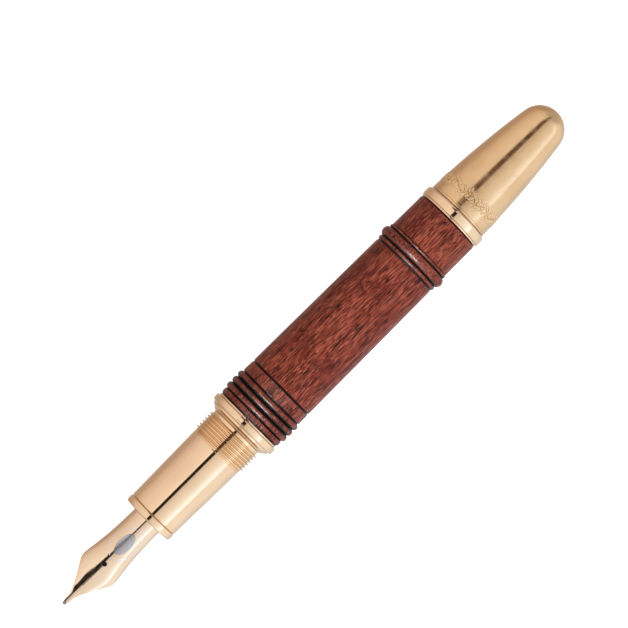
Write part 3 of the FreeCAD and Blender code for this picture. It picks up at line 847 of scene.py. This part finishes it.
def build_front_wood():
    x = WOOD_X
    low = BAND_R - GROOVE
    points = outline(
        (x, CORE_R),
        (x, low),
        (x + 0.2, low),
        (x + 0.38, BAND_R),
        (x + 1.25, BAND_R),
        (x + 1.5, low),
        bead(x + 1.5, x + 2.95, low, BEAD_R),
        bead(x + 2.95, x + 4.45, low, BEAD_R),
        bead(x + 4.45, x + 5.85, low, BEAD_R),
        (x + 6.0, low + 0.04),
        (x + 6.15, BAND_R - 0.03),
        (BARREL_X - 0.24, BARREL_FRONT_R),
        (BARREL_X - JOINT, low),
        (BARREL_X, low),
        (BARREL_X, CORE_R),
    )
    return add_wood("front_wood_turned", points, "front_wood_sleeve", BARREL_FRONT_R)


def build_barrel_wood():
    low = BARREL_REAR_R - GROOVE / 2
    points = outline(
        (BARREL_X, CORE_R),
        (BARREL_X, BAND_R - GROOVE),
        (BARREL_X + JOINT, BAND_R - GROOVE),
        (BARREL_X + 0.24, BARREL_FRONT_R),
        (BEADS_X - 0.3, BARREL_REAR_R),
        (BEADS_X, low),
        (BEADS_X, CORE_R),
    )
    return add_wood("barrel_wood_turned", points, "barrel_wood_sleeve", BARREL_FRONT_R)


def build_bead_ring():
    x = BEADS_X
    low = BARREL_REAR_R - GROOVE / 2
    points = outline(
        (x, CORE_R),
        (x, low),
        (x + 0.2, low),
        bead(x + 0.2, x + 1.1, low, 7.24),
        bead(x + 1.15, x + 3.35, low, BEAD_R),
        bead(x + 3.4, x + 4.0, low, 7.2),
        (REAR_X, low),
        (REAR_X, CORE_R),
    )
    return add_wood("bead_ring_turned", points, "wood_bead_ring", BARREL_REAR_R)


def build_rear_wood():
    points = outline(
        (REAR_X, CORE_R),
        (REAR_X, BARREL_REAR_R - GROOVE / 2),
        (REAR_X + 0.1, REAR_FRONT_R),
        (END_RING_X - 0.9, REAR_END_R),
        ((END_RING_X - 0.2, REAR_END_R - 0.06), (END_RING_X, REAR_END_R - 0.22)),
        (END_RING_X, CORE_R),
    )
    return add_wood("rear_wood_turned", points, "rear_wood_sleeve", REAR_END_R)


def build_end_ring():
    x = END_RING_X
    points = outline(
        (x, CORE_R),
        (x, 6.72),
        ((x + 0.12, 6.98), (x + 0.38, 7.08)),
        (x + 0.44, 6.98),
        (x + 0.5, 7.12),
        ((x + 0.58, 7.19), (x + 0.72, END_RING_R)),
        (x + 1.85, END_RING_R),
        ((x + 2.12, 7.1), (KNOB_X - 0.08, KNOB_R + 0.08)),
        (KNOB_X - 0.08, 6.4),
        (KNOB_X, 6.4),
        (KNOB_X, HOUSING_R),
        (CORE_END_X, HOUSING_R),
        (CORE_END_X, CORE_R),
    )
    return add_turned("end_ring_turned", points, gold, "barrel", "end_ring")


# ---- mechanism's threaded tail ---------------------------------------------------
def tail_thread(x, r, angle):
    """Cuts one groove in the tail that shows when the knob is unscrewed."""
    groove = helix_groove(x, angle, TAIL_LEAD, 1, TAIL_THREAD_MOUTH, TAIL_THREAD_FLOOR)
    within = (x > TAIL_THREAD_X) & (x < HOUSING_TAIL_X) & (r > TAIL_THREADED_R)
    return np.where(within, r - groove * TAIL_THREAD_DEPTH, r)


def build_housing():
    points = outline(
        (HOUSING_X, SEAT_R),
        (HOUSING_X, HOUSING_R),
        *seal_groove(HOUSING_SEAL, HOUSING_R),
        (KNOB_X, HOUSING_R),
        (KNOB_X, TAIL_R),
        (HOUSING_TAIL_X - 0.3, TAIL_R),
        (HOUSING_TAIL_X, TAIL_R - 0.3),
        (HOUSING_TAIL_X, SPINDLE_BORE_R),
        (SEAT_END_X, SPINDLE_BORE_R),
        (SEAT_END_X, SEAT_R),
    )
    points = held_flats(broken_edges(points))
    points = divided(points, KNOB_X + 0.1, HOUSING_TAIL_X, TAIL_THREADED_R, 0.035)
    places, faces, sunk = revolved(points, RING_SEGMENTS, tail_thread)
    return add_piece("housing_threaded", places, faces, sunk, brass, "barrel", "mechanism_housing")


# ---- turning knob ----------------------------------------------------------------
GARLAND_X = 108.85          # middle of the garland
GARLAND_REACH = 1.7
GARLAND_WAVES = 10          # waves of the stem round the knob
GARLAND_SWING = 0.42
RELIEF = 0.08               # height of the leaves
OUTLINE = 0.045             # depth of the line cut round them
MIDRIB = 0.03               # depth of the line cut along each leaf
STEM_HALF = 0.07
BERRY_R = 0.13
GARLAND_LEAST_R = KNOB_R - 1        # it is on what lies further out
GARLAND_STEP = 0.058        # between the rows of its mesh

# The leaves on half a wave: the middle as a share of the wave and in mm from the garland's
# middle, the lean in radians, and the length and the width
LEAVES = (
    (0.02, 0.62, 1.0, 0.95, 0.38),
    (0.12, 1.02, 0.6, 0.85, 0.33),
    (0.24, 0.86, -0.1, 0.8, 0.36),
    (0.36, 1.1, 1.1, 0.7, 0.3),
    (0.44, 0.6, 0.9, 0.75, 0.33),
    (0.10, -0.3, -0.9, 0.8, 0.33),
    (0.20, -0.7, -0.5, 0.75, 0.31),
    (0.33, -0.26, -1.1, 0.7, 0.3),
)
BERRIES = (
    (0.30, 0.26),
    (0.07, 0.1),
    (0.4, -0.62),
)


def leaf_edge(along, across, middle, lean, length, width):
    """How far outside a pointed leaf each place is, and how far from its midrib."""
    at, up = middle
    u = (along - at) * math.cos(lean) + (across - up) * math.sin(lean)
    v = (across - up) * math.cos(lean) - (along - at) * math.sin(lean)
    share = np.abs(u) / (length / 2)
    half = width / 2 * np.clip(1 - share ** 2, 0, 1)
    outside = np.maximum(np.abs(v) - half, (share - 1) * length / 2)
    return outside, np.abs(v)


def garland(x, r, angle):
    """A wavy twig with leaves and berries, raised all round the knob, with a fine line
    cut round each."""
    band = (np.abs(x - GARLAND_X) < GARLAND_REACH) & (r > GARLAND_LEAST_R)
    wave = 2 * math.pi / GARLAND_WAVES
    phase = angle % wave / wave
    across = x - GARLAND_X
    span = wave * KNOB_R
    along = phase * span
    stem = GARLAND_SWING * np.sin(2 * math.pi * phase)
    outside = np.abs(across - stem) - STEM_HALF
    rib = np.full_like(outside, 1.0)
    # The second half of each wave repeats the first, turned over.
    for shift in (-span, -span / 2, 0, span / 2, span):
        turned = -1 if shift in (-span / 2, span / 2) else 1
        for at, up, lean, length, width in LEAVES:
            middle = (at * span + shift, turned * up)
            edge, from_rib = leaf_edge(along, across, middle, turned * lean, length, width)
            outside = np.minimum(outside, edge)
            rib = np.where(edge < -0.04, np.minimum(rib, from_rib), rib)
        for at, up in BERRIES:
            away = np.hypot(along - at * span - shift, across - turned * up)
            outside = np.minimum(outside, away - BERRY_R)
    raised = np.clip(-outside / 0.1, 0, 1)
    height = RELIEF * raised * (2 - raised)
    height = height - OUTLINE * np.exp(-((outside - 0.03) / 0.055) ** 2)
    height = height - MIDRIB * np.exp(-(rib / 0.04) ** 2)
    return np.where(band, r + height, r)


def build_knob():
    x = KNOB_X
    gap = 0.04

    def on_dome(lean):
        angle = math.radians(lean)
        return PEN_END_X - DOME_R + DOME_R * math.sin(angle), DOME_R * math.cos(angle)

    points = outline(
        (x + gap, INSERT_R),
        (x + gap, KNOB_R - 0.03),
        (x + 0.08, KNOB_R),
        (x + 0.42, KNOB_R),
        (x + 0.48, KNOB_R - LINE),
        (x + 0.54, KNOB_R),
        (x + 1.2, KNOB_R - 0.03),
        ((x + 12.4, 5.96), on_dome(DOME_LEAN)),
        (on_dome(45 + DOME_LEAN / 2), (PEN_END_X, 0)),
        (PEN_END_X - 1.3, 0),
        (x + 24.2, 2.6),
        (x + 22.6, 3.6),
        (x + 20.4, 4.15),
        (INSERT_END_X, 4.9),
        (x + 8.2, 5.4),
        (x + 8.2, INSERT_R),
    )
    points = held_flats(broken_edges(points))
    reach = GARLAND_REACH + 0.2
    points = divided(points, GARLAND_X - reach, GARLAND_X + reach, GARLAND_LEAST_R, GARLAND_STEP)
    places, faces, sunk = revolved(points, KNOB_SEGMENTS, garland)
    return add_piece("turning_knob_chased", places, faces, sunk, satin_gold, "knob", "turning_knob")


# ---- floor, light and camera -----------------------------------------------------
# In metres, unless a comment says otherwise
CAMERA_TILT = 4.5           # degrees round the pen's axis, from straight up towards +Y
CAMERA_AWAY = 0.6955
CAMERA_X = -0.012
AIM = Vector((0.00623, 0.00545, AXIS_Z))
CAMERA_UP = Vector((0.7037, 0.7105, 0.0))
LENS = 210                  # in mm
LIGHT_AWAY = 0.6
SOFT_BOX_LONG = 1.8
GLINT = 400.0               # radiance of the strip that glints on the wooden beads
GLINT_SIZE = (0.12, 0.3)
GLINT_LEAN = math.radians(38)


def standing(place, right, back):
    """Where a camera or light is put: at a place, with its right side and its back so."""
    turned = Matrix((right, back.cross(right), back)).transposed().to_4x4()
    return Matrix.Translation(place) @ turned


def build_camera():
    data = bpy.data.cameras.new("camera")
    data.lens = LENS
    data.sensor_width = 36
    data.clip_start = 0.01
    data.clip_end = 10
    camera = bpy.data.objects.new("camera", data)
    tilt = math.radians(CAMERA_TILT)
    y = CAMERA_AWAY * math.sin(tilt)
    up = AXIS_Z + CAMERA_AWAY * math.cos(tilt)
    place = Vector((CAMERA_X, y, up))
    back = (place - AIM).normalized()
    right = CAMERA_UP.cross(back).normalized()
    camera.matrix_world = standing(place, right, back)
    bpy.context.scene.collection.objects.link(camera)
    bpy.context.scene.camera = camera


def add_light(name, radiance, size, right, back):
    """A rectangular light that faces the pen from LIGHT_AWAY. size is its length along
    right and its width across it."""
    data = bpy.data.lights.new(name, "AREA")
    data.shape = "RECTANGLE"
    data.size, data.size_y = size
    data.energy = radiance * math.pi * data.size * data.size_y
    light = bpy.data.objects.new(name, data)
    light.matrix_world = standing(Vector((0, 0, AXIS_Z)) + back * LIGHT_AWAY, right, back)
    light.visible_camera = False
    bpy.context.scene.collection.objects.link(light)
    return light


def soft_box(name, start, end, radiance):
    """A long light beside the pen. start and end are degrees round the pen's axis, from
    straight up towards -Y. Its reflection is part of the studio below."""
    middle, half = math.radians((start + end) / 2), math.radians((end - start) / 2)
    back = Vector((0, -math.sin(middle), math.cos(middle)))
    size = (SOFT_BOX_LONG, 2 * LIGHT_AWAY * math.tan(half))
    light = add_light(name, radiance, size, Vector((1, 0, 0)), back)
    light.visible_glossy = False


def glint_strip(pieces):
    """A narrow light ahead of the pen that only the polished wooden beads mirror."""
    right = Vector((math.cos(GLINT_LEAN), 0, math.sin(GLINT_LEAN)))
    back = Vector((-math.sin(GLINT_LEAN), 0, math.cos(GLINT_LEAN)))
    light = add_light("glint_strip", GLINT, GLINT_SIZE, right, back)
    light.visible_diffuse = False
    lit = bpy.data.collections.new("glint_lit")
    for piece in pieces:
        lit.objects.link(piece)
    light.light_linking.receiver_collection = lit


def build_lights():
    soft_box("key_box", 0, 60, 1.35)
    soft_box("fill_box", -62, -10, 0.5)


# What the metal mirrors, by the angle round the pen's axis in degrees, from straight up
# towards -Y: two long soft boxes, with a hot edge on the near one. Colours are linear.
STUDIO = [
    (-180, (0.75, 0.68, 0.62)),
    (-134, (0.71, 0.59, 0.51)),
    (-118, (0.80, 0.67, 0.58)),
    (-105, (0.95, 0.83, 0.75)),
    (-94, (1.10, 1.00, 0.94)),
    (-83, (1.18, 1.09, 1.04)),
    (-65, (1.32, 1.24, 1.22)),
    (-40, (1.38, 1.35, 1.34)),
    (-24, (1.46, 1.43, 1.45)),
    (-12, (1.55, 1.55, 1.62)),
    (-8, (1.22, 1.22, 1.24)),
    (0.8, (1.05, 1.05, 1.05)),
    (15, (1.28, 1.31, 1.36)),
    (30, (1.38, 1.47, 1.56)),
    (47, (1.56, 1.8, 2.1)),
    (55, (1.85, 2.2, 2.75)),
    (65, (1.85, 2.2, 2.75)),
    (68, (1.47, 1.58, 1.7)),
    (97, (1.47, 1.58, 1.7)),
    (110, (1.38, 1.50, 1.62)),
    (126, (1.13, 1.22, 1.32)),
    (180, (0.75, 0.68, 0.62)),
]
STUDIO_BRIGHTEST = 3.0
STUDIO_FILL = 0.25          # how much of it lights the matt surfaces
FAR_WALL = (0.85, 0.85, 0.85, 1)
GAP = (-11.5, 0.2)          # degrees: the dark gap between the two boxes
TAIL_GAP = (-28.0, -8.3)    # degrees: the same gap behind the pen's tail
GAP_DARK = (0.01, 0.009, 0.008, 1)
TAIL_GAP_DARK = (0.05, 0.027, 0.012, 1)
GAP_EDGE = math.radians(0.6)

# Where the studio changes along the pen, by the part along the axis of the way that a
# surface looks, from -1 ahead of the nib to 1 behind the tail
INTO_WALL = (0.8, 0.98)     # at both ends
INTO_TAIL = (0.085, 0.115)
GAP_START = (-0.62, -0.5)


def build_world():
    """The studio round the pen. It turns into an even pale wall towards both ends, and
    the dark gap between its boxes is wider and further over behind the tail."""
    world = bpy.data.worlds.new("studio")
    bpy.context.scene.world = world
    world.use_nodes = True
    tree = world.node_tree
    tree.nodes.clear()
    place = add_node(tree, "ShaderNodeTexCoord").outputs["Generated"]
    x, y, up = add_node(tree, "ShaderNodeSeparateXYZ", {0: place}).outputs
    angle = calculate(tree, "ARCTAN2", calculate(tree, "MULTIPLY", y, -1.0), up)
    share = ramped(tree, angle, -math.pi, math.pi, smooth=False)
    ramp = add_node(tree, "ShaderNodeValToRGB", {"Fac": share})
    stops = ramp.color_ramp.elements
    while len(stops) < len(STUDIO):
        stops.new(0.5)
    for stop, (degrees, colour) in zip(stops, STUDIO):
        stop.position = (degrees + 180) / 360
        stop.color = tuple(part / STUDIO_BRIGHTEST for part in colour) + (1,)
    wall = tuple(part / STUDIO_BRIGHTEST for part in FAR_WALL[:3]) + (1,)
    towards_end = ramped(tree, calculate(tree, "ABSOLUTE", x), *INTO_WALL)
    colour = blended(tree, towards_end, ramp.outputs["Color"], wall)
    behind = ramped(tree, x, *INTO_TAIL)

    def edge(number):
        here, tail = math.radians(GAP[number]), math.radians(TAIL_GAP[number])
        return ramped(tree, behind, 0.0, 1.0, here, tail, smooth=False)

    past_start = calculate(tree, "SUBTRACT", angle, edge(0))
    before_end = calculate(tree, "SUBTRACT", edge(1), angle)
    dark = ramped(tree, x, *GAP_START)
    for inside in (past_start, before_end):
        dark = calculate(tree, "MULTIPLY", dark, ramped(tree, inside, -GAP_EDGE, GAP_EDGE))
    colour = blended(tree, dark, colour, blended(tree, behind, GAP_DARK, TAIL_GAP_DARK))
    matt = add_node(tree, "ShaderNodeLightPath").outputs["Is Diffuse Ray"]
    strength = ramped(tree, matt, 0.0, 1.0, STUDIO_BRIGHTEST, STUDIO_BRIGHTEST * STUDIO_FILL, smooth=False)
    background = add_node(tree, "ShaderNodeBackground", {"Color": colour, "Strength": strength})
    add_node(tree, "ShaderNodeOutputWorld", {"Surface": background.outputs[0]})


def build_floor():
    """A white floor that is softly lit from below, as a light table is."""
    material, tree = new_material("floor")
    matt = add_node(tree, "ShaderNodeBsdfDiffuse", {"Color": (0.8, 0.8, 0.8, 1)})
    glow = add_node(tree, "ShaderNodeEmission", {"Color": (1, 1, 1, 1), "Strength": 0.85})
    both = add_node(tree, "ShaderNodeAddShader", {0: matt.outputs[0], 1: glow.outputs[0]})
    add_node(tree, "ShaderNodeOutputMaterial", {"Surface": both.outputs[0]})
    half = 3.0
    corners = [(-half, -half, 0), (half, -half, 0), (half, half, 0), (-half, half, 0)]
    mesh = bpy.data.meshes.new("floor")
    mesh.from_pydata(corners, [], [(0, 1, 2, 3)])
    mesh.materials.append(material)
    floor = bpy.data.objects.new("floor", mesh)
    floor.visible_diffuse = False
    floor.visible_glossy = False
    bpy.context.scene.collection.objects.link(floor)


# ---- all of it -------------------------------------------------------------------
def finish_cad_nodes():
    """Procedural finishes for the CAD nodes that stay."""
    for node, material in CAD_FINISHES.items():
        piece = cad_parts[node]
        piece.data.materials.clear()
        piece.data.materials.append(material)


def main():
    build_camera()
    build_lights()
    build_world()
    build_floor()
    bpy.context.scene.view_settings.view_transform = "Standard"
    finish_cad_nodes()
    build_nib(medallion_nib(nib_gold))
    build_tipping(tipping)
    build_front_ring()
    build_grip()
    build_collar()
    build_barrel_wood()
    build_rear_wood()
    glint_strip([build_front_wood(), build_bead_ring()])
    build_end_ring()
    build_housing()
    build_knob()


main()
